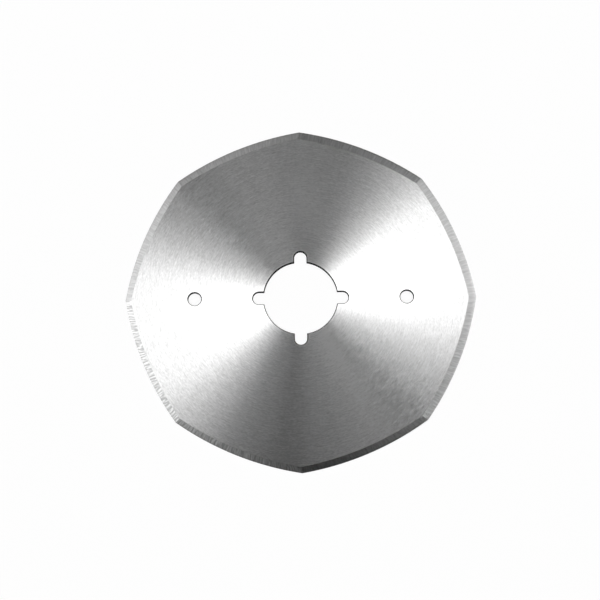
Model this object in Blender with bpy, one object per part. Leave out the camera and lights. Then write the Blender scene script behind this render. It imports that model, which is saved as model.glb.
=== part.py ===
"""Rotary cutter blade: an eight-sided steel disc with a notched bore.

One piece of hardened steel. Eight bowed cutting edges meet at eight corners. A single
bevel is ground on the upper side of each edge, so the sharp edge lies in the plane of
the flat back, and neighbouring bevels meet in a mitre line at each corner. The bore
has four round-ended notches for the keys of the spindle flange, and two small holes
beside it take the flange's pins.

Metres, +Z up. The origin is the bore's centre on the back face, which lies on Z = 0,
and the bevelled face looks up along +Z. One pin hole is on +X, the other on -X.
"""
import math

import bmesh
import bpy
from mathutils import Matrix, Vector

MM = 0.001

# Outline
EDGE_COUNT = 8
CORNER_RADIUS = 50.0 * MM
EDGE_BOW = 2.2 * MM

# Section
THICKNESS = 1.0 * MM
EDGE_LAND = 0.05 * MM
BEVEL_WIDTH_AT_MIDDLE = 2.10 * MM
BEVEL_WIDTH_AT_CORNER = 1.95 * MM
GRIND_SHIFT_X = -0.23 * MM
GRIND_SHIFT_Y = -0.37 * MM

# Bore and its notches
BORE_RADIUS = 10.5 * MM
NOTCH_COUNT = 4
NOTCH_WIDTH = 3.5 * MM
NOTCH_DEPTH = 3.1 * MM

# Pin holes
PIN_HOLE_COUNT = 2
PIN_HOLE_RADIUS = 1.85 * MM
PIN_CIRCLE_RADIUS = 30.2 * MM

# Steel
STEEL_COLOUR = (0.60, 0.61, 0.62, 1.0)
STEEL_ROUGHNESS = 0.30

# Smoothness of the round stretches, in straight steps
STEPS_PER_EDGE = 24
STEPS_PER_BORE_ARC = 24
STEPS_PER_NOTCH_END = 32
STEPS_PER_PIN_HOLE = 64
SHARP_ANGLE = math.radians(6.5)

CUT_MARGIN = 1.0 * MM
HALF_SECTOR = math.pi / EDGE_COUNT


def clear_scene():
    for thing in list(bpy.data.objects):
        bpy.data.objects.remove(thing, do_unlink=True)


def edge_arc(corner_radius, bow):
    """Radius and half angle of the arc that joins two corners and rises by bow over their chord."""
    half_chord = corner_radius * math.sin(HALF_SECTOR)
    arc_radius = (half_chord ** 2 + bow ** 2) / (2.0 * bow)
    return arc_radius, math.asin(half_chord / arc_radius)


def bowed_edge(corner_radius, bow, middle_angle):
    """Points of one bowed edge, from its first corner up to, not including, its last."""
    arc_radius, half_arc = edge_arc(corner_radius, bow)
    arc_centre = corner_radius * math.cos(HALF_SECTOR) + bow - arc_radius
    turn = Matrix.Rotation(middle_angle, 3, 'Z')
    points = []
    for step in range(STEPS_PER_EDGE):
        angle = half_arc * (2.0 * step / STEPS_PER_EDGE - 1.0)
        point = Vector((arc_centre + arc_radius * math.cos(angle), arc_radius * math.sin(angle), 0.0))
        points.append(turn @ point)
    return points


def outline(corner_radius, bow):
    """The closed outline of bowed edges round the bore's centre, with a corner on +X."""
    points = []
    for edge in range(EDGE_COUNT):
        points += bowed_edge(corner_radius, bow, HALF_SECTOR * (2 * edge + 1))
    return points


def bevel_inner_outline():
    """Where the bevels run out on the upper face.

    The bevel is a little narrower at the corners than at the middle of an edge, and the
    whole grind sits slightly off the bore's centre, so it is wider on one side.
    """
    arc_radius, half_arc = edge_arc(CORNER_RADIUS, EDGE_BOW)
    corner_turn = HALF_SECTOR - half_arc
    inner_corner = CORNER_RADIUS - BEVEL_WIDTH_AT_CORNER / math.cos(corner_turn)
    inner_middle = CORNER_RADIUS * math.cos(HALF_SECTOR) + EDGE_BOW - BEVEL_WIDTH_AT_MIDDLE
    inner_bow = inner_middle - inner_corner * math.cos(HALF_SECTOR)
    shift = Vector((GRIND_SHIFT_X, GRIND_SHIFT_Y, 0.0))
    return [point + shift for point in outline(inner_corner, inner_bow)]


def bore_outline():
    """The bore and its round-ended notches as one closed outline, notches on the axes."""
    half_width = NOTCH_WIDTH / 2.0
    mouth_angle = math.asin(half_width / BORE_RADIUS)
    end_centre = BORE_RADIUS + NOTCH_DEPTH - half_width
    pitch = 2.0 * math.pi / NOTCH_COUNT
    points = []
    for notch in range(NOTCH_COUNT):
        turn = Matrix.Rotation(notch * pitch, 3, 'Z')
        for step in range(STEPS_PER_NOTCH_END + 1):
            angle = -math.pi / 2.0 + math.pi * step / STEPS_PER_NOTCH_END
            x = end_centre + half_width * math.cos(angle)
            points.append(turn @ Vector((x, half_width * math.sin(angle), 0.0)))
        for step in range(STEPS_PER_BORE_ARC + 1):
            angle = mouth_angle + (pitch - 2.0 * mouth_angle) * step / STEPS_PER_BORE_ARC
            points.append(turn @ Vector((BORE_RADIUS * math.cos(angle), BORE_RADIUS * math.sin(angle), 0.0)))
    return points


def pin_hole_outline(hole):
    angle = 2.0 * math.pi * hole / PIN_HOLE_COUNT
    centre = PIN_CIRCLE_RADIUS * Vector((math.cos(angle), math.sin(angle), 0.0))
    points = []
    for step in range(STEPS_PER_PIN_HOLE):
        angle = 2.0 * math.pi * step / STEPS_PER_PIN_HOLE
        points.append(centre + PIN_HOLE_RADIUS * Vector((math.cos(angle), math.sin(angle), 0.0)))
    return points


def raised(points, height):
    return [point + Vector((0.0, 0.0, height)) for point in points]


def stack_outlines(name, levels):
    """A closed solid from outlines of equal point count, given from the lowest upwards.

    The lowest outline is filled and then extruded once for each level above it, and the
    extruded face's corners are moved to that level's points.
    """
    mesh = bpy.data.meshes.new(name)
    bm = bmesh.new()
    station = bm.verts.layers.int.new("station")
    corners = []
    for index, point in enumerate(levels[0]):
        corner = bm.verts.new(point)
        corner[station] = index
        corners.append(corner)
    base = top = bm.faces.new(corners)
    for level in levels[1:]:
        extruded = bmesh.ops.extrude_face_region(bm, geom=[top])["geom"]
        if top is not base:
            bm.faces.remove(top)
        top = next(item for item in extruded if isinstance(item, bmesh.types.BMFace))
        for corner in top.verts:
            corner.co = level[corner[station]]
    bmesh.ops.recalc_face_normals(bm, faces=bm.faces[:])
    bm.to_mesh(mesh)
    bm.free()
    solid = bpy.data.objects.new(name, mesh)
    bpy.context.scene.collection.objects.link(solid)
    return solid


def cutter(name, points):
    """A prism through the whole thickness, hidden in renders, that only cuts."""
    prism = stack_outlines(name, [raised(points, -CUT_MARGIN), raised(points, THICKNESS + CUT_MARGIN)])
    prism.hide_render = True
    prism.display_type = 'WIRE'
    return prism


def cut(solid, tool):
    boolean = solid.modifiers.new(tool.name, 'BOOLEAN')
    boolean.operation = 'DIFFERENCE'
    boolean.solver = 'EXACT'
    boolean.object = tool


def apply_modifiers(solid):
    evaluated = solid.evaluated_get(bpy.context.evaluated_depsgraph_get())
    mesh = bpy.data.meshes.new_from_object(evaluated)
    solid.modifiers.clear()
    solid.data = mesh
    mesh.name = solid.name


def steel():
    material = bpy.data.materials.new("brushed_steel")
    material.use_nodes = True
    shader = material.node_tree.nodes["Principled BSDF"]
    shader.inputs["Base Color"].default_value = STEEL_COLOUR
    shader.inputs["Metallic"].default_value = 1.0
    shader.inputs["Roughness"].default_value = STEEL_ROUGHNESS
    return material


def make_blade():
    back = outline(CORNER_RADIUS, EDGE_BOW)
    face = raised(bevel_inner_outline(), THICKNESS)
    blade = stack_outlines("blade", [back, raised(back, EDGE_LAND), face])
    cut(blade, cutter("bore_cutter", bore_outline()))
    for hole in range(PIN_HOLE_COUNT):
        cut(blade, cutter("pin_hole_cutter_%d" % (hole + 1), pin_hole_outline(hole)))
    apply_modifiers(blade)
    blade.data.materials.clear()
    blade.data.materials.append(steel())
    blade.data.shade_smooth()
    blade.data.set_sharp_from_angle(angle=SHARP_ANGLE)
    return blade


clear_scene()
make_blade()
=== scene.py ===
# %% [markdown] # A rotary cutter blade  Electric fabric cutters turn a thin steel disc
# like this one. It has eight slightly bowed cutting edges instead of one round edge, so
# that each corner bites into the cloth. The CAD part gives its true size and its place.
# This lesson dresses it: the same form with finer steps and broken edges, the brushing and
# the grind lines that the tools left on the steel, and the soft studio light that shows
# them. Its box is kept, because the finished piece has to have the same size.

# %% Load the CAD part
import math

import bmesh
import bpy
from mathutils import Matrix, Vector


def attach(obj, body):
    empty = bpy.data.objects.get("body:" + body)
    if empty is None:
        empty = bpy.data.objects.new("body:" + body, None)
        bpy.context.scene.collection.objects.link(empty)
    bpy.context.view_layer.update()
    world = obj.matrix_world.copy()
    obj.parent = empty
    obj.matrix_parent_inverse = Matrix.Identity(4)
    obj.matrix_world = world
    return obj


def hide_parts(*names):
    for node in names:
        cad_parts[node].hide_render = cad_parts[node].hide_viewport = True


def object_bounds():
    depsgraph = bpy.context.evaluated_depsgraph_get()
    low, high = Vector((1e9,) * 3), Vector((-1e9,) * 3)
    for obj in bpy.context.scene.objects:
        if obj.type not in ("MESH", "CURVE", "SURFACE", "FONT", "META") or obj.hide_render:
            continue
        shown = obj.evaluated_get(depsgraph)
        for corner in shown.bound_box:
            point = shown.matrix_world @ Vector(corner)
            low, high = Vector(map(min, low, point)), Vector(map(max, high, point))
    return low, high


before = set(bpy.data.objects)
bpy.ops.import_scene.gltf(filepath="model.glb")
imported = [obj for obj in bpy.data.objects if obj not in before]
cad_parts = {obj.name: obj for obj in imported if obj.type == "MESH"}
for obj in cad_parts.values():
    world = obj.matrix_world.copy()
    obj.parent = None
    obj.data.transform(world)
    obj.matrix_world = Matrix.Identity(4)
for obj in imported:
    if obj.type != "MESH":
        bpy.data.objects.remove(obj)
cad_low, cad_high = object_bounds()

MM = 0.001
print("CAD box in mm:", [round(side / MM, 3) for side in cad_high - cad_low])

# %% [markdown]
# ## Sizes
#
# Everything on a blade is centred on its spindle, so a few radii say it all. The thickness
# and the corner radius are read from the CAD part. The others are the drawing's numbers.
# The whole bevel grind sits slightly off the bore's centre, as it often does on a ground
# disc, and that makes the bevel wider on one side.
#
# The cutting edge is finer here than in the CAD solid. Its land is a hundredth of a
# millimetre high, and a honed strip runs from it up to the bevel. If the bevel went on to
# the outline by itself it would arrive there at the height of its foot.

# %% Sizes of the blade
THICKNESS = cad_high.z
CORNER_RADIUS = cad_high.x
EDGE_COUNT = 8
EDGE_BOW = 2.2 * MM
EDGE_LAND = 0.01 * MM
BEVEL_FOOT = 0.05 * MM
BEVEL_AT_MIDDLE = 2.10 * MM
BEVEL_AT_CORNER = 1.95 * MM
HONED_SHARE = 0.22
GRIND_SHIFT = Vector((-0.23, -0.37, 0.0)) * MM

BORE_RADIUS = 10.5 * MM
NOTCH_COUNT = 4
NOTCH_WIDTH = 3.5 * MM
NOTCH_DEPTH = 3.1 * MM
PIN_HOLE_COUNT = 2
PIN_HOLE_RADIUS = 1.85 * MM
PIN_CIRCLE_RADIUS = 30.2 * MM
DEBURR = 0.25 * MM
DEBURR_BELOW = 0.05 * MM
print("blade %.0f mm across corners, %.1f mm thick" % (2 * CORNER_RADIUS / MM, THICKNESS / MM))

# %% [markdown]
# ## The camera
#
# A flat disc with known corners is a good camera target: where its eight corners fall in
# the picture gives the view. The lens looks almost straight down. It leans about fourteen
# degrees to the near side, which is what shows the far wall of the bore, and it is turned
# by a few degrees. The lens is a long one, so the far edge looks nearly as wide as the
# near one.

# %% Camera
CAMERA_DISTANCE = 474.4 * MM
CAMERA_OFFSET = Vector((-0.197, -0.394, 0.0)) * MM
CAMERA_LEAN = math.radians(13.7226)
CAMERA_ROLL = math.radians(3.8690)
BLADE_TURN = math.radians(-3.24)

# lens and sensor are counted in millimetres
LENS_LENGTH = 99.83
SENSOR_WIDTH = 36.0

camera_data = bpy.data.cameras.new("camera")
camera_data.sensor_width = SENSOR_WIDTH
camera_data.lens = LENS_LENGTH
camera = bpy.data.objects.new("camera", camera_data)
bpy.context.scene.collection.objects.link(camera)
bpy.context.scene.camera = camera

to_camera = (
    Matrix.Rotation(CAMERA_ROLL, 3, 'Z')
    @ Matrix.Rotation(-CAMERA_LEAN, 3, 'X')
    @ Matrix.Rotation(BLADE_TURN, 3, 'Z')
)
from_camera = to_camera.transposed()
place = from_camera @ (CAMERA_OFFSET + Vector((0.0, 0.0, CAMERA_DISTANCE)))
camera.matrix_world = Matrix.Translation(place) @ from_camera.to_4x4()
print("camera at", [round(v / MM, 1) for v in place], "mm")

# %% [markdown]
# ## Writing node trees as sums
#
# Node trees are easier to read as formulas. `Wire` holds one output socket, and a sum,
# product or power written with it adds the Math node that does it.

# %% Wire
class Wire:
    """An output socket. Arithmetic on it adds Math nodes to its tree."""

    def __init__(self, socket):
        self.socket = socket

    def out(self, name):
        return Wire(self.socket.node.outputs[name])

    def math(self, operation, *values):
        board = Board(self.socket.id_data)
        return board.put("ShaderNodeMath", {"operation": operation}, dict(enumerate(values)))

    def __add__(self, other):
        return self.math('ADD', self, other)

    def __radd__(self, other):
        return self.math('ADD', other, self)

    def __sub__(self, other):
        return self.math('SUBTRACT', self, other)

    def __rsub__(self, other):
        return self.math('SUBTRACT', other, self)

    def __mul__(self, other):
        return self.math('MULTIPLY', self, other)

    def __rmul__(self, other):
        return self.math('MULTIPLY', other, self)

    def __truediv__(self, other):
        return self.math('DIVIDE', self, other)

    def __rtruediv__(self, other):
        return self.math('DIVIDE', other, self)

    def __pow__(self, other):
        return self.math('POWER', self, other)

    def root(self):
        return self.math('SQRT', self)

    def sin(self):
        return self.math('SINE', self)

    def cos(self):
        return self.math('COSINE', self)

    def arcsin(self):
        return self.math('ARCSINE', self)

    def exp(self):
        return self.math('EXPONENT', self)

    def at_least(self, other):
        return self.math('MAXIMUM', self, other)

    def at_most(self, other):
        return self.math('MINIMUM', self, other)

    def above(self, other):
        return self.math('GREATER_THAN', self, other)

    def unsigned(self):
        return self.math('ABSOLUTE', self)

    def held(self):
        """The value, held between zero and one."""
        return self.at_least(0.0).at_most(1.0)


print("a wire knows", sorted(name for name in vars(Wire) if not name.startswith("_")))

# %% [markdown]
# `Board` holds a tree, and its `put` adds any other node: its type, then its settings, then
# what goes into its sockets. A list of wires goes into one socket that takes several.
# Boards and wires work in materials and in Geometry Nodes alike.

# %% Board
class Board:
    """A node tree that is being wired."""

    def __init__(self, tree):
        self.tree = tree

    def put(self, kind, settings=None, sockets=None):
        """Adds a node, sets it up, feeds its sockets, and returns its first output."""
        node = self.tree.nodes.new(kind)
        for name, value in (settings or {}).items():
            setattr(node, name, value)
        for key, value in (sockets or {}).items():
            wires = value if isinstance(value, list) else [value]
            for wire in wires:
                if isinstance(wire, Wire):
                    self.tree.links.new(wire.socket, node.inputs[key])
                else:
                    node.inputs[key].default_value = wire
        shown = [socket for socket in node.outputs if socket.enabled]
        return Wire(shown[0]) if shown else node

    def vector(self, x, y, z):
        return self.put("ShaderNodeCombineXYZ", None, {"X": x, "Y": y, "Z": z})

    def vector_math(self, operation, *values):
        return self.put("ShaderNodeVectorMath", {"operation": operation}, dict(enumerate(values)))

    def scaled(self, vector, amount):
        sockets = {"Vector": vector, "Scale": amount}
        return self.put("ShaderNodeVectorMath", {"operation": 'SCALE'}, sockets)


trial = Board(bpy.data.node_groups.new("trial", "ShaderNodeTree"))
total = 2.0 * trial.put("ShaderNodeValue") + 1.0
last = total.socket.node.operation
print("2 * value + 1 takes %d nodes and ends in %s" % (len(trial.tree.nodes), last))
bpy.data.node_groups.remove(trial.tree)

# %% [markdown]
# ## Running a Geometry Nodes tree from a script
#
# A tree starts with named inputs for its sizes, so that it can be reused in another file.
# A modifier knows its inputs by an identifier such as Socket_2, and they are set before
# the object is first evaluated. Afterwards the result becomes a plain mesh and the
# modifier goes, because the exported part has to stand without it.

# %% Helpers for geometry trees
SOCKET_KINDS = {int: "NodeSocketInt", float: "NodeSocketFloat", Vector: "NodeSocketVector"}


def start_tree(name, sizes):
    """A new geometry tree with a named input for each size: its board and the inputs' wires."""
    tree = bpy.data.node_groups.new(name, "GeometryNodeTree")
    for title, value in sizes.items():
        kind = SOCKET_KINDS.get(type(value), "NodeSocketMaterial")
        tree.interface.new_socket(title, in_out='INPUT', socket_type=kind)
    tree.interface.new_socket("Geometry", in_out='OUTPUT', socket_type="NodeSocketGeometry")
    board = Board(tree)
    given = board.put("NodeGroupInput")
    return board, {title: given.out(title) for title in sizes}


def end_tree(board, geometry, material):
    """Realizes what the tree made, gives it its material and sends it out."""
    real = board.put("GeometryNodeRealizeInstances", None, {"Geometry": geometry})
    painted = board.put("GeometryNodeSetMaterial", None, {"Geometry": real, "Material": material})
    board.put("NodeGroupOutput", None, {"Geometry": painted})


def bake_modifiers(piece):
    """Turns a piece with live modifiers into a plain mesh."""
    evaluated = piece.evaluated_get(bpy.context.evaluated_depsgraph_get())
    mesh = bpy.data.meshes.new_from_object(evaluated)
    piece.modifiers.clear()
    piece.data = mesh
    mesh.name = piece.name


def drop_empty_slots(mesh):
    """Takes out material slots that hold nothing and points the faces at the others."""
    named = [index for index, material in enumerate(mesh.materials) if material]
    finish = [named.index(face.material_index) for face in mesh.polygons]
    for index in reversed(range(len(mesh.materials))):
        if index not in named:
            mesh.materials.pop(index=index)
    mesh.polygons.foreach_set("material_index", finish)


def grow(name, board, sizes):
    """A new object whose mesh is what the tree makes from these sizes."""
    piece = bpy.data.objects.new(name, bpy.data.meshes.new(name))
    bpy.context.scene.collection.objects.link(piece)
    modifier = piece.modifiers.new(name, 'NODES')
    modifier.node_group = board.tree
    for item in board.tree.interface.items_tree:
        if item.in_out == 'INPUT':
            modifier[item.identifier] = sizes[item.name]
    bake_modifiers(piece)
    drop_empty_slots(piece.data)
    print("%s: %d faces" % (name, len(piece.data.polygons)))
    return piece


print("a size can be", [kind.__name__ for kind in SOCKET_KINDS], "or a material")

# %% [markdown]
# ## Steel that shows how it was worked
#
# Bare steel has hardly any colour of its own. What the eye reads is the tool marks. Fine
# parallel scratches spread a highlight across themselves and keep it narrow along
# themselves, which the shader calls anisotropy. Its Tangent socket tells which way round
# that goes.
#
# Anisotropy gives the broad play of light, but no single scratch. Those come from noises
# that are stretched along the scratches. They make the steel a little lighter or darker,
# and they lean the normal a little to one side. Most of it goes into the colour: a scratch
# is narrower than a pixel, and leaning normals cancel out inside one.

# %% Helpers for steel
STEEL_LIGHT = (0.78, 0.78, 0.78, 1.0)
STEEL_DARK = (0.42, 0.42, 0.42, 1.0)
NOISE_MIDDLE = 0.5
NOISE_GAIN = 3.0
ROUGHNESS_OF_MARKS = 0.01


def new_material(name):
    """A material with an empty tree, and its board."""
    material = bpy.data.materials.new(name)
    material.use_nodes = True
    material.node_tree.nodes.clear()
    return material, Board(material.node_tree)


def parts(board, vector):
    """A vector's three parts, each as a wire."""
    split = board.put("ShaderNodeSeparateXYZ", None, {"Vector": vector})
    return split.out("X"), split.out("Y"), split.out("Z")


def place_on_blade(board):
    """A point's three coordinates on the blade."""
    return parts(board, board.put("ShaderNodeTexCoord").out("Object"))


def from_axis(x, y):
    """How far a point is from the spindle axis."""
    return (x * x + y * y).root()


def round_axis(board, x, y, radius):
    """The direction round the spindle axis at a point."""
    return board.vector(-1.0 * y / radius, x / radius, 0.0)


def noise(board, vector, detail=2.0):
    """Noise about zero, mostly between -1 and 1, with features one unit long."""
    grain = board.put(
        "ShaderNodeTexNoise",
        {"noise_dimensions": '3D'},
        {"Vector": vector, "Scale": 1.0, "Detail": detail},
    )
    return (grain - NOISE_MIDDLE) * NOISE_GAIN


def tilted(board, direction, amount):
    """The surface's normal, tilted towards a direction by an amount that a wire gives."""
    normal = board.put("ShaderNodeNewGeometry").out("Normal")
    lean = board.scaled(direction, amount)
    return board.vector_math('NORMALIZE', board.vector_math('ADD', normal, lean))


def shade_between(board, dark, light, share):
    """The light colour where share is one, the dark colour where it is zero."""
    blend = {"data_type": 'RGBA', "clamp_factor": True}
    # a Mix node has inputs for every type of data: 6 and 7 are its two colours
    return board.put("ShaderNodeMix", blend, {0: share, 6: dark, 7: light})


def bump_at(offset, width):
    """A smooth bump: one where the offset is zero, fading within about this width."""
    spread = offset / width
    return (-1.0 * spread * spread).exp()


def finish(board, sockets):
    """Ends a material in a Principled shader with these sockets."""
    shader = board.put("ShaderNodeBsdfPrincipled", None, sockets)
    board.put("ShaderNodeOutputMaterial", None, {"Surface": shader})
    print("finish made with %d nodes" % len(board.tree.nodes))


print("bare steel reflects %.2f to %.2f of the light" % (STEEL_DARK[0], STEEL_LIGHT[0]))

# %% [markdown]
# ## The brushed flats
#
# The flats were brushed while the disc turned under an abrasive pad. Their scratches run
# round the centre, so the highlights open outwards in wedges. A Tangent node that points
# round the Z axis, with a quarter turn of Anisotropic Rotation, does that.
#
# Three things are laid over the even brushing:
#
# - short scratches and long streaks that follow the circles, on faint broad clouds: noises
#   for the colour and one more for the lean of the normal, so that light and lean don't go
#   together
# - a painted highlight: a lighter ring of colour just outside the rim of each opening
# - painted light and shade in three sectors of the flat: paler on the far side, and darker
#   and then paler on the near side, which brightens and dims the wedges of light there
#
# The colour of the flats gets slightly darker outwards.

# %% Brushed flats
SCRATCH_LENGTH = 0.8 * MM
SCRATCH_PITCH = 0.28 * MM
STREAK_LENGTH = 3.0 * MM
STREAK_PITCH = 0.35 * MM
LEAN_LENGTH = 1.8 * MM
LEAN_PITCH = 0.28 * MM
CLOUD_SIZE = 20.0 * MM

# the lean's noise is read elsewhere, so that it doesn't repeat the others
LEAN_ELSEWHERE = 30.0

SHORT_WEIGHT = 0.65
LONG_WEIGHT = 0.5
STREAK_CONTRAST = 0.55
CLOUD_CONTRAST = 0.03
FLAT_LEAN = 0.022

FLAT_ROUGHNESS = 0.34
QUARTER_TURN = 0.25
FLAT_SHARE = 0.582
FLAT_SHARE_RADIUS = 29.0 * MM
SHARE_LOST_OUTWARDS = 0.0121 / MM
# painted highlight: a lighter ring of colour a little outside each opening's rim
RIM_HIGHLIGHT_OFFSET = 0.45 * MM
RIM_HIGHLIGHT_WIDTH = 0.17 * MM
RIM_HIGHLIGHT_GAIN = 0.5

# painted light and shade, sector by sector: side of the blade along Y, place as x over the
# radius, width there, change of share and the radius where the sector starts
PAINTED_SECTORS = (
    (1.0, 0.04, 0.16, 0.3, 16.0 * MM),
    (-1.0, -0.09, 0.13, -0.3, 0.0),
    (-1.0, 0.53, 0.20, 0.3, 0.0),
)
# painted light and shade: how far out each painted sector fades in from its first radius
PAINTED_SECTOR_RAMP = 10.0 * MM


def opening_distance(x, y, radius):
    """How far a point is from the nearest rim of the bore, the notches and the pin holes."""
    from_bore = radius - BORE_RADIUS
    notch_radius = NOTCH_WIDTH / 2.0
    notch_end = BORE_RADIUS + NOTCH_DEPTH - notch_radius
    along = x.unsigned().at_least(y.unsigned())
    aside = x.unsigned().at_most(y.unsigned())
    past = (along - notch_end).at_least(0.0)
    from_notch = (past * past + aside * aside).root() - notch_radius
    from_pin = ((x.unsigned() - PIN_CIRCLE_RADIUS) ** 2.0 + y * y).root() - PIN_HOLE_RADIUS
    return from_bore.at_most(from_notch).at_most(from_pin)


def painted_sectors(x, y, radius):
    """The change of share that paints light and shade into sectors of the flat."""
    total = 0.0
    for side, middle, width, change, first_radius in PAINTED_SECTORS:
        reach = ((radius - first_radius) / PAINTED_SECTOR_RAMP).held() * (side * y).above(0.0)
        total = total + bump_at(x / radius - middle, width) * reach * change
    return total


def brushed_flat():
    material, board = new_material("brushed_flat")
    x, y, z = place_on_blade(board)
    radius = from_axis(x, y)
    around = round_axis(board, x, y, radius)
    lean_ring = radius / LEAN_PITCH + LEAN_ELSEWHERE
    short = noise(board, board.vector(x / SCRATCH_LENGTH, y / SCRATCH_LENGTH, radius / SCRATCH_PITCH))
    long = noise(board, board.vector(x / STREAK_LENGTH, y / STREAK_LENGTH, radius / STREAK_PITCH))
    lean = noise(board, board.vector(x / LEAN_LENGTH, y / LEAN_LENGTH, lean_ring))
    cloud = noise(board, board.vector(x / CLOUD_SIZE, y / CLOUD_SIZE, z))
    streak = short * SHORT_WEIGHT + long * LONG_WEIGHT
    # painted highlight round the openings
    painted_rim_highlight = bump_at(opening_distance(x, y, radius) - RIM_HIGHLIGHT_OFFSET, RIM_HIGHLIGHT_WIDTH)
    share = FLAT_SHARE + (FLAT_SHARE_RADIUS - radius) * SHARE_LOST_OUTWARDS
    # painted light and shade: the highlight ring and the paler and darker sectors join the share
    share_and_painted_light = share + painted_rim_highlight * RIM_HIGHLIGHT_GAIN + painted_sectors(x, y, radius)
    grain = share_and_painted_light + streak * STREAK_CONTRAST + cloud * CLOUD_CONTRAST
    round_the_centre = board.put("ShaderNodeTangent", {"direction_type": 'RADIAL', "axis": 'Z'})
    finish(board, {
        "Metallic": 1.0,
        "Base Color": shade_between(board, STEEL_DARK, STEEL_LIGHT, grain),
        "Roughness": FLAT_ROUGHNESS + streak * ROUGHNESS_OF_MARKS,
        "Anisotropic": 1.0,
        "Anisotropic Rotation": QUARTER_TURN,
        "Tangent": round_the_centre,
        "Normal": tilted(board, around, lean * FLAT_LEAN),
    })
    return material


BRUSHED_FLAT = brushed_flat()

# %% [markdown]
# ## The ground bevels
#
# A grinding wheel ran across each bevel, from the flat to the cutting edge. The lines that
# it left run across too, and the highlight spreads along the edge. Both follow a UV map
# that is made together with the rim: millimetres along the edge and across the bevel, with
# every facet on a stretch of its own. Broader feed marks stand among the fine lines, about
# one to a millimetre, and their spacing wanders.
#
# A wheel is dressed with a diamond when it gets dull, and the next facet then shows much
# stronger lines. Here that happened before the fifth facet, and the lines grow weaker from
# there to the eighth. The seventh facet came out a little smoother than the others, so its
# light falls off more steeply towards the corner, and its colour is painted lighter: painted light.

# %% Ground bevels
BEVEL_ROUGHNESS = 0.43
BEVEL_ANISOTROPY = 0.8
BEVEL_SHARE = 0.52

# lengths on the UV map are in millimetres
FACET_STRETCH = 60.0
LINE_PITCH = 0.45
LINE_LENGTH = 4.0
FEED_PITCH = 1.1
FEED_WANDER_LENGTH = 2.6

# how far the feed marks wander, in pitches, and where that noise is read
FEED_WANDER = 1.1
WANDER_ELSEWHERE = 5.0

SCRATCH_WEIGHT = 0.7
FEED_WEIGHT = 0.2
WORN_CONTRAST = 0.45
DRESSED_CONTRAST = 1.3
BEVEL_LEAN = 0.03

# facets are counted from zero
HALF_FACET = 0.5
DRESSED_FACET = 4.0
WEAR_PER_FACET = 0.8
# the seventh facet is smoother, and its colour is painted lighter, which is painted light
SMOOTH_PAINTED_FACET = 6.0
SMOOTHER_BY = 0.06
# painted light: how much lighter the seventh facet's colour is painted
PAINTED_LIGHT_BY = 0.4


def ground_bevel():
    material, board = new_material("ground_bevel")
    x, y = place_on_blade(board)[:2]
    around = round_axis(board, x, y, from_axis(x, y))
    along, across = parts(board, board.put("ShaderNodeUVMap", {"uv_map": "grind"}))[:2]
    down = across / LINE_LENGTH
    scratches = noise(board, board.vector(along / LINE_PITCH, down, 0.0), detail=1.0)
    stretch = board.vector(along / FEED_WANDER_LENGTH, down, WANDER_ELSEWHERE)
    wander = noise(board, stretch, detail=1.0)
    feed = (2.0 * math.pi * (along / FEED_PITCH + wander * FEED_WANDER)).sin()
    lines = scratches * SCRATCH_WEIGHT + feed * FEED_WEIGHT
    facet = along / FACET_STRETCH
    passes = facet - DRESSED_FACET
    dressed = passes.above(-HALF_FACET) * (-WEAR_PER_FACET * passes.at_least(0.0)).exp()
    strength = WORN_CONTRAST + dressed * DRESSED_CONTRAST
    smooth = 1.0 - (facet - SMOOTH_PAINTED_FACET).unsigned().above(HALF_FACET)
    # painted light: the seventh facet's colour is painted lighter
    grain = BEVEL_SHARE + smooth * PAINTED_LIGHT_BY + lines * strength
    along_the_edge = board.put("ShaderNodeTangent", {"direction_type": 'UV_MAP', "uv_map": "grind"})
    finish(board, {
        "Metallic": 1.0,
        "Base Color": shade_between(board, STEEL_DARK, STEEL_LIGHT, grain),
        "Roughness": BEVEL_ROUGHNESS - smooth * SMOOTHER_BY + lines * ROUGHNESS_OF_MARKS,
        "Anisotropic": BEVEL_ANISOTROPY,
        "Tangent": along_the_edge,
        "Normal": tilted(board, around, lines * strength * BEVEL_LEAN),
    })
    return material


GROUND_BEVEL = ground_bevel()

# %% [markdown]
# ## Painted shade on the walls
#
# The bore, the notches and the pin holes were punched and never ground again. Their walls
# and the small chamfers round them are painted near-black and have no specular reflection,
# which is painted shade and why a thin dark line draws every opening. The dark is matt and
# blotchy and has no direction, so one plain noise is enough.

# %% Painted shade on the walls
# painted shade: the walls of the openings and their chamfers are near-black and have no specular
# reflection
WALL_SHADE_LIGHT = (0.030, 0.030, 0.030, 1.0)
WALL_SHADE_DARK = (0.010, 0.010, 0.010, 1.0)
WALL_SHADE_SHARE = 0.4
WALL_ROUGHNESS = 0.6
BLOTCH_WIDTH = 1.5 * MM
BLOTCH_HEIGHT = 0.4 * MM
BLOTCH_CONTRAST = 0.4
BLOTCH_ROUGHNESS = 0.05


def painted_shade_walls():
    material, board = new_material("painted_shade_walls")
    x, y, z = place_on_blade(board)
    spot = board.vector(x / BLOTCH_WIDTH, y / BLOTCH_WIDTH, z / BLOTCH_HEIGHT)
    blotch = noise(board, spot, detail=3.0)
    share = WALL_SHADE_SHARE + blotch * BLOTCH_CONTRAST
    finish(board, {
        "Base Color": shade_between(board, WALL_SHADE_DARK, WALL_SHADE_LIGHT, share),
        "Roughness": WALL_ROUGHNESS + blotch * BLOTCH_ROUGHNESS,
        "Specular IOR Level": 0.0,
    })
    return material


PAINTED_SHADE_WALLS = painted_shade_walls()

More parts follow.
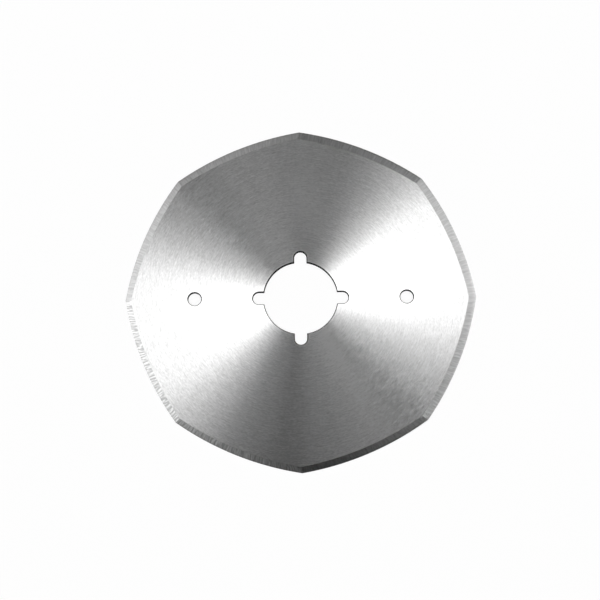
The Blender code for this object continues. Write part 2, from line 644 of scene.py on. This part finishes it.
# %% [markdown]
# ## The ground rim
#
# A grinder makes the rim by the same pass eight times, with the disc turned by an eighth
# each time. The tree works the same way. One facet is a grid that is bent between two
# arcs: the cutting edge below, and the line where the bevel runs out above. Eight turned
# instances of it make the ring, and where two of them meet they leave the mitre line.
# It could also be cut from a disc with eight ground wedges, but then the facet would have
# no rows of its own to carry the grind lines.

# %% The rim's sizes
rim_sizes = {
    "Corner Radius": CORNER_RADIUS,
    "Edge Bow": EDGE_BOW,
    "Thickness": THICKNESS,
    "Edge Land": EDGE_LAND,
    "Bevel Foot": BEVEL_FOOT,
    "Honed Share": HONED_SHARE,
    "Bevel At Middle": BEVEL_AT_MIDDLE,
    "Bevel At Corner": BEVEL_AT_CORNER,
    "Grind Shift": GRIND_SHIFT,
    "Edge Count": EDGE_COUNT,
    "Points Along Edge": 65,
    "Rows Across": 14,
    "Material": GROUND_BEVEL,
}
rim, size = start_tree("ground_rim", rim_sizes)
print("the rim has", len(rim_sizes), "sizes")

# %% [markdown]
# An arc over a chord is fixed by the chord and by how far it bows out. The outer arc runs
# between two corners of the blade. The inner one follows from the width of the bevel at
# the corners and in the middle of the edge.

# %% The two arcs
def arc_of(corner, bow, half_sector):
    """Radius, half angle and centre of the arc over one edge."""
    half_chord = corner * half_sector.sin()
    arc_radius = (half_chord * half_chord + bow * bow) / (2.0 * bow)
    half_angle = (half_chord / arc_radius).arcsin()
    return arc_radius, half_angle, corner * half_sector.cos() + bow - arc_radius


half_sector = math.pi / size["Edge Count"]
corner = size["Corner Radius"]
outer_radius, outer_half, outer_centre = arc_of(corner, size["Edge Bow"], half_sector)
inner_corner = corner - size["Bevel At Corner"] / (half_sector - outer_half).cos()
inner_middle = corner * half_sector.cos() + size["Edge Bow"] - size["Bevel At Middle"]
inner_bow = inner_middle - inner_corner * half_sector.cos()
inner_radius, inner_half, inner_centre = arc_of(inner_corner, inner_bow, half_sector)
print("two arcs take", len(rim.tree.nodes), "nodes")

# %% [markdown]
# The flat grid is two units long and one wide. Its length goes along the edge, from -1 to 1,
# and its rows go up the bevel. The first step is the land, which stands upright. The second
# is the honed strip, a little steeper than the bevel, which draws a hairline along the edge.
# The rest share the bevel evenly.

# %% One facet
grid = rim.put("GeometryNodeMeshGrid", None, {
    "Size X": 2.0,
    "Size Y": 1.0,
    "Vertices X": size["Points Along Edge"],
    "Vertices Y": size["Rows Across"],
})
run, rise = parts(rim, rim.put("GeometryNodeInputPosition"))[:2]
row = (rise + 0.5) * (size["Rows Across"] - 1.0)
on_bevel = row.at_most(1.0)
honed = (row - 1.0).held()
rest = (row - 2.0).at_least(0.0) / (size["Rows Across"] - 3.0)
up_bevel = honed * size["Honed Share"] + rest * (1.0 - size["Honed Share"])

outer_x = outer_centre + outer_radius * (outer_half * run).cos()
outer_y = outer_radius * (outer_half * run).sin()
inner_x = inner_centre + inner_radius * (inner_half * run).cos()
inner_y = inner_radius * (inner_half * run).sin()
ramp = size["Bevel Foot"] + (size["Thickness"] - size["Bevel Foot"]) * up_bevel
height = on_bevel * size["Edge Land"] + honed * (ramp - size["Edge Land"])
bent = rim.vector(
    outer_x + (inner_x - outer_x) * up_bevel,
    outer_y + (inner_y - outer_y) * up_bevel,
    height,
)
print("one facet is set out with", len(rim.tree.nodes), "nodes")

# %% [markdown]
# Each point of the grid notes where it is, in millimetres along the edge and across the
# bevel, before the grid is bent. The upright land gets a narrow strip of its own there. Once
# the eight facets are real, these notes become the UV map of the grind lines. The last steps
# slide the upper rim by the grind shift, leave the cutting edge where it is, and make one
# point of those that touch.

# %% Eight facets in a ring
LAND_STRIP = 0.02
TOUCHING = 0.001 * MM


def remember(board, geometry, name, value, domain='POINT', data_type='FLOAT'):
    settings = {"domain": domain, "data_type": data_type}
    sockets = {"Geometry": geometry, "Name": name, "Value": value}
    return board.put("GeometryNodeStoreNamedAttribute", settings, sockets)


def recall(board, name):
    return board.put("GeometryNodeInputNamedAttribute", {"data_type": 'FLOAT'}, {"Name": name})


along_edge = outer_radius * outer_half * run / MM
across_bevel = size["Bevel At Middle"] * up_bevel / MM + (on_bevel - 1.0) * LAND_STRIP
facet = remember(rim, grid, "along", along_edge)
facet = remember(rim, facet, "across", across_bevel)
facet = remember(rim, facet, "share", up_bevel)
facet = rim.put("GeometryNodeSetPosition", None, {"Geometry": facet, "Position": bent})

at_axis = {"Count": size["Edge Count"], "Position": (0.0, 0.0, 0.0)}
turns = rim.put("GeometryNodePoints", None, at_axis)
number = rim.put("GeometryNodeInputIndex")
ring = rim.put("GeometryNodeInstanceOnPoints", None, {
    "Points": turns,
    "Instance": facet,
    "Rotation": rim.vector(0.0, 0.0, half_sector * (2.0 * number + 1.0)),
})
ring = remember(rim, ring, "facet", number * FACET_STRETCH, 'INSTANCE')
ring = rim.put("GeometryNodeRealizeInstances", None, {"Geometry": ring})
grind_uv = rim.vector(recall(rim, "along") + recall(rim, "facet"), recall(rim, "across"), 0.0)
ring = remember(rim, ring, "grind", grind_uv, 'CORNER', 'FLOAT2')
shift = rim.scaled(size["Grind Shift"], recall(rim, "share"))
ring = rim.put("GeometryNodeSetPosition", None, {"Geometry": ring, "Offset": shift})
ring = rim.put("GeometryNodeMergeByDistance", None, {"Geometry": ring, "Distance": TOUCHING})
for spent in ("along", "across", "share", "facet"):
    ring = rim.put("GeometryNodeRemoveAttribute", None, {"Geometry": ring, "Name": spent})
end_tree(rim, ring, size["Material"])
blade = grow("cutter_blade", rim, rim_sizes)

# %% [markdown]
# ## The two flats
#
# The ring is open above and below. Its two border loops are filled with one face each:
# the front flat and the back flat. They lie in a plane, so a single many-sided face is
# exactly flat and has no seam.

# %% Fill the two flats
def fill_flats(piece, material):
    """Closes the ring's border loops at the bottom and at the top."""
    piece.data.materials.append(material)
    bm = bmesh.new()
    bm.from_mesh(piece.data)
    border = {corner for side in bm.edges if side.is_boundary for corner in side.verts}
    for height, upwards in ((0.0, False), (THICKNESS, True)):
        loop = [corner for corner in border if abs(corner.co.z - height) < TOUCHING]
        loop.sort(key=lambda corner: math.atan2(corner.co.y, corner.co.x), reverse=not upwards)
        flat = bm.faces.new(loop)
        flat.material_index = 1
    bm.normal_update()
    bm.to_mesh(piece.data)
    print("flats filled, open edges left:", sum(side.is_boundary for side in bm.edges))
    bm.free()


fill_flats(blade, BRUSHED_FLAT)

# %% [markdown]
# ## The bore, its notches and the pin holes
#
# The spindle flange of the machine has four keys and two pins. The keys sit in the notches
# of the bore. A round-ended notch is the hull of two round bars, so the tree makes two
# cylinders, wraps them in a Convex Hull and turns that round the axis. The pin holes are a
# cylinder turned round the axis in the same way. All of this is a tool that is only used
# to cut, so it wears the near-black painted shade that its cut leaves on the walls, and it
# stands out above and below the blade.

# %% The tools that cut the openings
CUTTER_HEIGHT = 4.0 * MM

cutter_sizes = {
    "Bore Radius": BORE_RADIUS,
    "Notch Count": NOTCH_COUNT,
    "Notch Width": NOTCH_WIDTH,
    "Notch Depth": NOTCH_DEPTH,
    "Pin Hole Count": PIN_HOLE_COUNT,
    "Pin Hole Radius": PIN_HOLE_RADIUS,
    "Pin Circle Radius": PIN_CIRCLE_RADIUS,
    "Height": CUTTER_HEIGHT,
    "Round Steps": 192,
    "Small Round Steps": 96,
    "Material": PAINTED_SHADE_WALLS,
}
tools, size = start_tree("opening_cutters", cutter_sizes)


def round_bar(board, steps, radius, height, distance):
    """An upright cylinder at a distance from the axis, along +X."""
    sides = {"Vertices": steps, "Radius": radius, "Depth": height}
    bar = board.put("GeometryNodeMeshCylinder", None, sides)
    return board.put("GeometryNodeTransform", None, {
        "Geometry": bar,
        "Translation": board.vector(distance, 0.0, 0.0),
    })


def turned(board, geometry, count):
    """Copies of a geometry round the axis."""
    spots = board.put("GeometryNodePoints", None, {"Count": count, "Position": (0.0, 0.0, 0.0)})
    angle = board.put("GeometryNodeInputIndex") * (2.0 * math.pi) / count
    copies = board.put("GeometryNodeInstanceOnPoints", None, {
        "Points": spots,
        "Instance": geometry,
        "Rotation": board.vector(0.0, 0.0, angle),
    })
    return board.put("GeometryNodeRealizeInstances", None, {"Geometry": copies})


def joined(board, *pieces):
    return board.put("GeometryNodeJoinGeometry", None, {"Geometry": list(pieces)})


tall = size["Height"]
small = size["Small Round Steps"]
key_radius = size["Notch Width"] / 2.0
notch_end = size["Bore Radius"] + size["Notch Depth"] - key_radius
notch_start = size["Bore Radius"] - size["Notch Width"]
notch = tools.put("GeometryNodeConvexHull", None, {"Geometry": joined(
    tools,
    round_bar(tools, small, key_radius, tall, notch_start),
    round_bar(tools, small, key_radius, tall, notch_end),
)})
pin_bar = round_bar(tools, small, size["Pin Hole Radius"], tall, size["Pin Circle Radius"])
bore_bar = round_bar(tools, size["Round Steps"], size["Bore Radius"], tall, 0.0)
notches = turned(tools, notch, size["Notch Count"])
union = {"operation": 'UNION', "solver": 'EXACT'}
keyed_bore = tools.put("GeometryNodeMeshBoolean", union, {"Mesh 2": [bore_bar, notches]})
all_tools = joined(tools, keyed_bore, turned(tools, pin_bar, size["Pin Hole Count"]))
end_tree(tools, all_tools, size["Material"])
cutters = grow("opening_cutters", tools, cutter_sizes)

# %% [markdown]
# A Boolean takes the tools out of the blank. The exact solver is used, since the bore and
# the notches overlap and the result has to stay closed. With the material mode on
# transfer, the new walls take the finish of the tool that made them.

# %% Cut the openings
drill = blade.modifiers.new("openings", 'BOOLEAN')
drill.operation = 'DIFFERENCE'
drill.solver = 'EXACT'
drill.material_mode = 'TRANSFER'
drill.object = cutters
bake_modifiers(blade)
bpy.data.objects.remove(cutters)
print("after the cut:", len(blade.data.polygons), "faces")
print("finishes:", [material.name for material in blade.data.materials])

# %% [markdown]
# A punched hole has a burr where the punch came out, here on the upper side. It is taken off
# before hardening, which leaves a narrow chamfer. Below, the rim is only just broken. The rim
# edges are the ones between an upright wall and a flat, inside the bevels. They get a weight,
# and a Bevel modifier chamfers each edge by its weight's share of the full width.

# %% Break the rims of the openings
OPENINGS_REACH = 0.8 * CORNER_RADIUS

# how far a face's normal rises, from none on a wall to one on a flat
WALL_BELOW = 0.1
FLAT_ABOVE = 0.9


def break_rims(piece, width, width_below, material):
    """Chamfers the rims between the flats and the walls of the openings."""
    bm = bmesh.new()
    bm.from_mesh(piece.data)
    weight = bm.edges.layers.float.new("bevel_weight_edge")
    rims = 0
    for side in bm.edges:
        levels = sorted(abs(face.normal.z) for face in side.link_faces)
        inside = max(corner.co.xy.length for corner in side.verts) < OPENINGS_REACH
        if inside and levels[0] < WALL_BELOW and levels[-1] > FLAT_ABOVE:
            below = side.verts[0].co.z < THICKNESS / 2.0
            side[weight] = width_below / width if below else 1.0
            rims += 1
    bm.to_mesh(piece.data)
    bm.free()
    chamfer = piece.modifiers.new("deburr", 'BEVEL')
    chamfer.limit_method = 'WEIGHT'
    chamfer.width = width
    chamfer.segments = 1
    # the chamfers take the near-black painted shade of the walls
    chamfer.material = piece.data.materials.find(material.name)
    bake_modifiers(piece)
    print("%d rim edges broken, %d faces" % (rims, len(piece.data.polygons)))


break_rims(blade, DEBURR, DEBURR_BELOW, PAINTED_SHADE_WALLS)

# %% [markdown]
# The walls of the openings are made of narrow strips and have to look round, while the
# mitres, the edges of the bevels and the chamfers stay crisp. Every edge that turns by
# more than a few degrees is kept sharp. A last count shows that the solid is closed.

# %% Shade the rounds smooth and keep the real edges sharp
SHARP_ANGLE = math.radians(5.0)
blade.data.shade_smooth()
blade.data.set_sharp_from_angle(angle=SHARP_ANGLE)

bm = bmesh.new()
bm.from_mesh(blade.data)
loose = sum(len(side.link_faces) != 2 for side in bm.edges)
print("edges without two faces: %d, volume %.1f cubic mm" % (loose, bm.calc_volume() / MM ** 3))
bm.free()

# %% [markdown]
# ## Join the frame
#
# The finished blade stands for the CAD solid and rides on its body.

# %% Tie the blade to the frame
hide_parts("blade")
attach(blade, "root")
print("the blade rides on root")

# %% [markdown]
# ## Floor and light
#
# The floor is matt white. For the rays that the camera and the steel send to it, most of
# its white comes from the surface itself, so the ground stays even. The rest is lit like
# any other surface, which keeps the blade's shadow.

# %% Floor
FLOOR_SIZE = 12.0
FLOOR_DEPTH = 0.02 * MM
WHITE = (1.0, 1.0, 1.0, 1.0)
MATT_WHITE = (0.95, 0.95, 0.95, 1.0)
OWN_WHITE = 0.92


def white_floor():
    material, board = new_material("matt_white_floor")
    path = board.put("ShaderNodeLightPath")
    seen = path.out("Is Camera Ray") + path.out("Is Glossy Ray") + path.out("Is Transmission Ray")
    lit = board.put("ShaderNodeBsdfDiffuse", None, {"Color": MATT_WHITE})
    own = board.put("ShaderNodeEmission", None, {"Color": WHITE, "Strength": 1.0})
    share = seen.at_most(1.0) * OWN_WHITE
    mix = board.put("ShaderNodeMixShader", None, {0: share, 1: lit, 2: own})
    board.put("ShaderNodeOutputMaterial", None, {"Surface": mix})
    return material


def make_floor():
    mesh = bpy.data.meshes.new("floor")
    half = FLOOR_SIZE / 2.0
    corners = [(-half, -half, 0.0), (half, -half, 0.0), (half, half, 0.0), (-half, half, 0.0)]
    mesh.from_pydata(corners, [], [(0, 1, 2, 3)])
    mesh.materials.append(white_floor())
    floor = bpy.data.objects.new("floor", mesh)
    floor.location.z = -FLOOR_DEPTH
    bpy.context.scene.collection.objects.link(floor)
    print("floor %.0f m wide" % FLOOR_SIZE)


make_floor()

# %% [markdown]
# Five softboxes light the steel. They are told by where they stand as seen from the
# blade: the bearing (counted from +X towards +Y), the height above the horizon, the half
# angles that they fill, and how bright their cloth is. The wedges of light on the flats
# are their reflections.

# %% Softboxes
LAMP_DISTANCE = 4.0


def softbox(name, bearing, height, half_width, half_height, brightness):
    """A rectangular area lamp that faces the blade and fills these half angles, in degrees."""
    data = bpy.data.lights.new(name, 'AREA')
    data.shape = 'RECTANGLE'
    data.size = 2.0 * LAMP_DISTANCE * math.tan(math.radians(half_width))
    data.size_y = 2.0 * LAMP_DISTANCE * math.tan(math.radians(half_height))
    data.energy = math.pi * brightness * data.size * data.size_y
    lamp = bpy.data.objects.new(name, data)
    turn = math.radians(bearing)
    lift = math.radians(height)
    level = math.cos(lift)
    towards = Vector((math.cos(turn) * level, math.sin(turn) * level, math.sin(lift)))
    lamp.location = towards * LAMP_DISTANCE
    lamp.rotation_euler = towards.to_track_quat('Z', 'Y').to_euler()
    lamp.visible_camera = False
    bpy.context.scene.collection.objects.link(lamp)
    print("%s: %.2f x %.2f m" % (name, data.size, data.size_y))


softbox("key_softbox", bearing=35.7, height=59.5, half_width=14.0, half_height=18.8, brightness=3.84)
softbox("left_softbox", bearing=178.6, height=40.2, half_width=24.0, half_height=32.0, brightness=2.35)
softbox("right_strip", bearing=8.5, height=29.3, half_width=22.5, half_height=3.1, brightness=6.42)
softbox("back_softbox", bearing=115.2, height=36.3, half_width=14.6, half_height=13.0, brightness=0.86)
softbox("back_strip", bearing=79.3, height=54.1, half_width=23.2, half_height=3.0, brightness=3.35)

# %% [markdown]
# The room round the table is pale near the horizon and dark above, which gives the steel
# its dark wedges. The world is a formula on the height of each direction.

# %% The room
HORIZON_STRENGTH = 0.9
HORIZON_FALL = math.radians(5.0)
ROOM_STRENGTH = 0.01


def light_room():
    world = bpy.data.worlds.new("studio_room")
    world.use_nodes = True
    world.node_tree.nodes.clear()
    board = Board(world.node_tree)
    towards = board.put("ShaderNodeTexCoord").out("Generated")
    up = parts(board, towards)[2]
    glow = bump_at(up.arcsin(), HORIZON_FALL) * HORIZON_STRENGTH + ROOM_STRENGTH
    room = board.put("ShaderNodeBackground", None, {"Color": WHITE, "Strength": glow})
    board.put("ShaderNodeOutputWorld", None, {"Surface": room})
    bpy.context.scene.world = world
    print("room lit, %.1f at the horizon and %.2f above" % (HORIZON_STRENGTH, ROOM_STRENGTH))


light_room()
bpy.context.scene.view_settings.view_transform = 'Standard'

# %% [markdown]
# ## Size
#
# The dressed blade must be as large as the CAD part.
